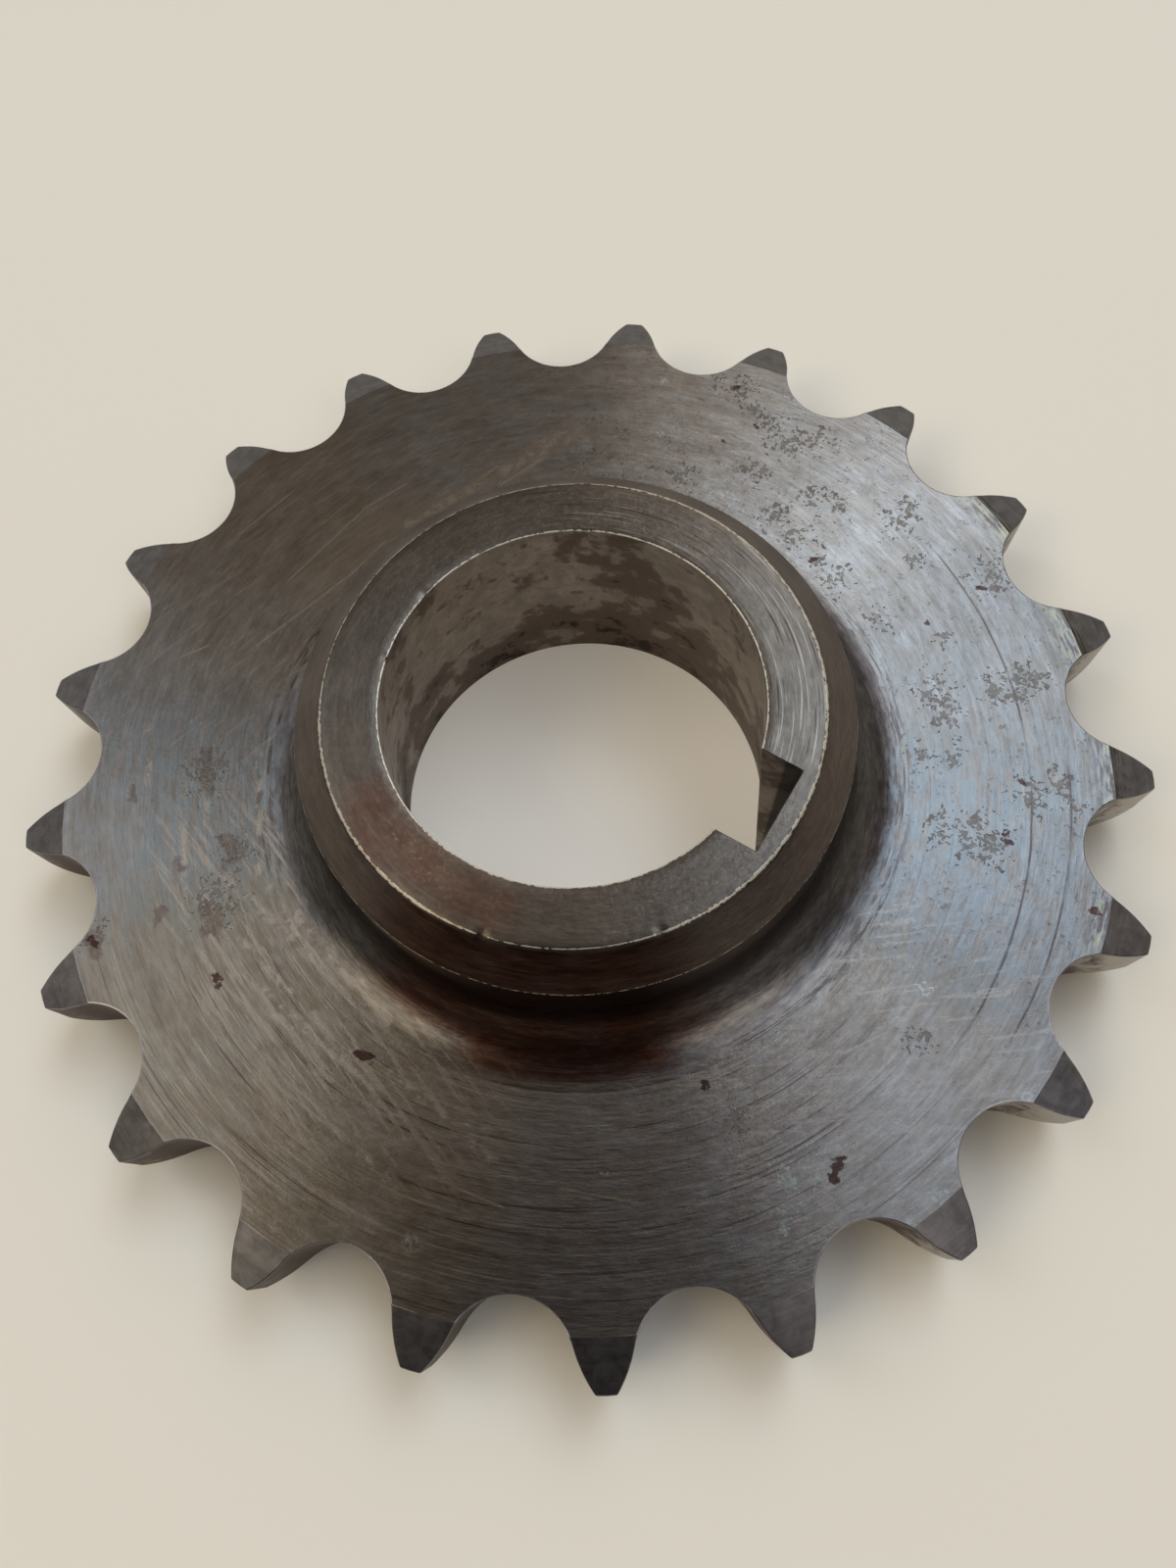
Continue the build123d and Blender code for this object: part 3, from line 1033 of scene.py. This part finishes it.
def buildSprocket(s):
    back, front, _ = levels(s)
    pitchRadius = s["pitch"] / math.sin(math.pi / s["teeth"]) / 2
    tipRadius = pitchRadius + s["tipHeight"]
    piece = joinRing(makeToothedRing(s, pitchRadius, tipRadius), makeHub(s), (back, front))
    cutKeyway(piece, s)
    for x, y, z, side, reach in s["nicks"]:
        nick(piece, x, y, z, side, reach, s["nickPush"])
    bpy.ops.object.mode_set(mode="OBJECT")

    # The bore's walls stand upright, and the bevels lean
    for face in piece.data.polygons:
        out = distanceOut(face.center)
        lean = abs(face.normal.z)
        if out < s["keywayFloor"] + 0.5 and lean < 0.3:
            face.material_index = finishes.index(boreSteel)
        elif out > tipRadius - s["bevelWidth"] and 0.5 < lean < 0.99:
            face.material_index = finishes.index(wornBevel)
    bpy.ops.object.shade_smooth_by_angle(angle=math.radians(s["smoothAngle"]))
    applyModifier(piece, "WEIGHTED_NORMAL", keep_sharp=True, weight=100)
    print("turned, toothed and bored", len(piece.data.vertices))
    return piece


sprocketSteel = buildSprocket(sprocketShape)
deselectAll()
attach(sprocketSteel, "root")
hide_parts("sprocket")

studio = {
    "floorSize": 4,
    "floorColor": (0.85, 0.826, 0.735, 1),
    "floorRoughness": 0.7,
    "boreLightPoolColor": (0.93, 0.88, 0.775, 1),  # a painted pool of light on the floor under the bore
    "boreLightPoolGlow": 0.16,  # how much it glows, a painted light, straight on and mirrored
    "boreLightPoolEdge": (19, 15),  # the patch fades in between these radii, in millimetres
    "overheadColor": (0.918, 0.719, 0.558, 1),
    "roomColor": (0.262, 0.23, 0.179, 1),
    "backdropColor": (0.70, 0.67, 0.60, 1),
    "mirroredBackdrop": 0.16,  # how far up metal shows the backdrop, 1 is overhead
    "shadeColor": (0.05, 0.038, 0.036, 1),
    "shadeSide": (0.428, -0.85, 0.309),
    "lampsAway": 1.0,
    "lamps": {  # degrees round from the keyway, degrees up, half its width, brightness, color
        "window": (90, 60, 13, 4.66, (0.727, 0.855, 1)),
        "windowSill": (105, 44, 13, 1.01, (1, 0.83, 0.64)),
        "skyHigh": (45, 70, 13, 1.99, (0.635, 0.774, 1)),
        "rightWall": (-15, 52, 13, 1.9, (1, 0.92, 0.82)),
        "leftWall": (195, 60, 13, 1.71, (0.98, 0.993, 1)),
        "coolCorner": (180, 44, 13, 0.99, (0.65, 0.8, 1)),
        "warmWall": (240, 52, 13, 3.58, (1, 0.86, 0.64)),
    },
}


def seenBy(tree):
    # 1 for what the camera sees, and 1 for what metal and glass show
    path = addNode(tree, "LightPath").outputs
    return path["Is Camera Ray"], highest(tree, path["Is Glossy Ray"], path["Is Transmission Ray"])


def lightRoom(s):
    # A dim room, warmer and paler overhead, and shaded on the side where somebody stands
    world = bpy.data.worlds.new("room")
    bpy.context.scene.world = world
    world.use_nodes = True
    tree = world.node_tree
    direction = addNode(tree, "TexCoord").outputs["Generated"]
    up = addNode(tree, "SeparateXYZ", {0: direction}).outputs[2]
    low = maths(tree, "POWER", maths(tree, "SUBTRACT", 1.0, maths(tree, "MAXIMUM", up, 0.0)), 0.3)
    aside = vectorMaths(tree, "DOT_PRODUCT", direction, s["shadeSide"])["Value"]
    color = mixColors(tree, low, s["overheadColor"], s["roomColor"])
    color = mixColors(tree, ramp(tree, aside, 0.1, 0.35), color, s["shadeColor"])
    camera, mirrored = seenBy(tree)
    seen = highest(tree, camera, times(tree, mirrored, ramp(tree, up, s["mirroredBackdrop"], 0.0)))
    color = mixColors(tree, seen, color, s["backdropColor"])
    tree.links.new(color, tree.nodes["Background"].inputs["Color"])


def layFloor(s):
    deselectAll()
    bpy.ops.mesh.primitive_plane_add(size=s["floorSize"])
    floor = bpy.context.object
    floor.name = "floor"
    material, tree, shader = newMaterial("paleFloor")
    out = vectorMaths(tree, "LENGTH", addNode(tree, "TexCoord").outputs["Object"])["Value"]
    outer, inner = s["boreLightPoolEdge"]
    # A painted pool of light under the bore: a paler colour that also glows
    inLightPool = ramp(tree, out, outer * mm, inner * mm)
    glow = times(tree, highest(tree, *seenBy(tree)), inLightPool, s["boreLightPoolGlow"])
    tree.links.new(mixColors(tree, inLightPool, s["floorColor"], s["boreLightPoolColor"]), shader.inputs["Base Color"])
    tree.links.new(glow, shader.inputs["Emission Strength"])
    shader.inputs["Emission Color"].default_value = s["boreLightPoolColor"]
    shader.inputs["Roughness"].default_value = s["floorRoughness"]
    shader.inputs["Specular IOR Level"].default_value = 0.2
    floor.data.materials.append(material)


def hangLamps(s):
    for name, (turned, up, half, bright, color) in s["lamps"].items():
        a, e = math.radians(turned), math.radians(up)
        towards = Vector((math.cos(e) * math.cos(a), math.cos(e) * math.sin(a), math.sin(e)))
        bpy.ops.object.light_add(type="AREA", location=towards * s["lampsAway"])
        light = bpy.context.object
        light.name = name
        light.rotation_euler = towards.to_track_quat("Z", "Y").to_euler()
        radius = s["lampsAway"] * math.tan(math.radians(half))
        light.data.shape = "DISK"
        light.data.size = 2 * radius
        light.data.energy = bright * (math.pi * radius) ** 2
        light.data.color = color


layFloor(studio)
lightRoom(studio)
hangLamps(studio)
bpy.context.scene.view_settings.view_transform = "Standard"
print("studio set")

# Metres and degrees
cameraPlace = {"at": (0.021307, -0.026692, 0.094014), "turned": (20.6377, 2.5332, 31.2066), "lens": 27.0106}


def setCamera(c):
    bpy.ops.object.camera_add(location=c["at"], rotation=[math.radians(d) for d in c["turned"]])
    camera = bpy.context.object
    camera.data.lens = c["lens"]
    camera.data.clip_start = 0.005
    bpy.context.scene.camera = camera
    print("camera set")


setCamera(cameraPlace)
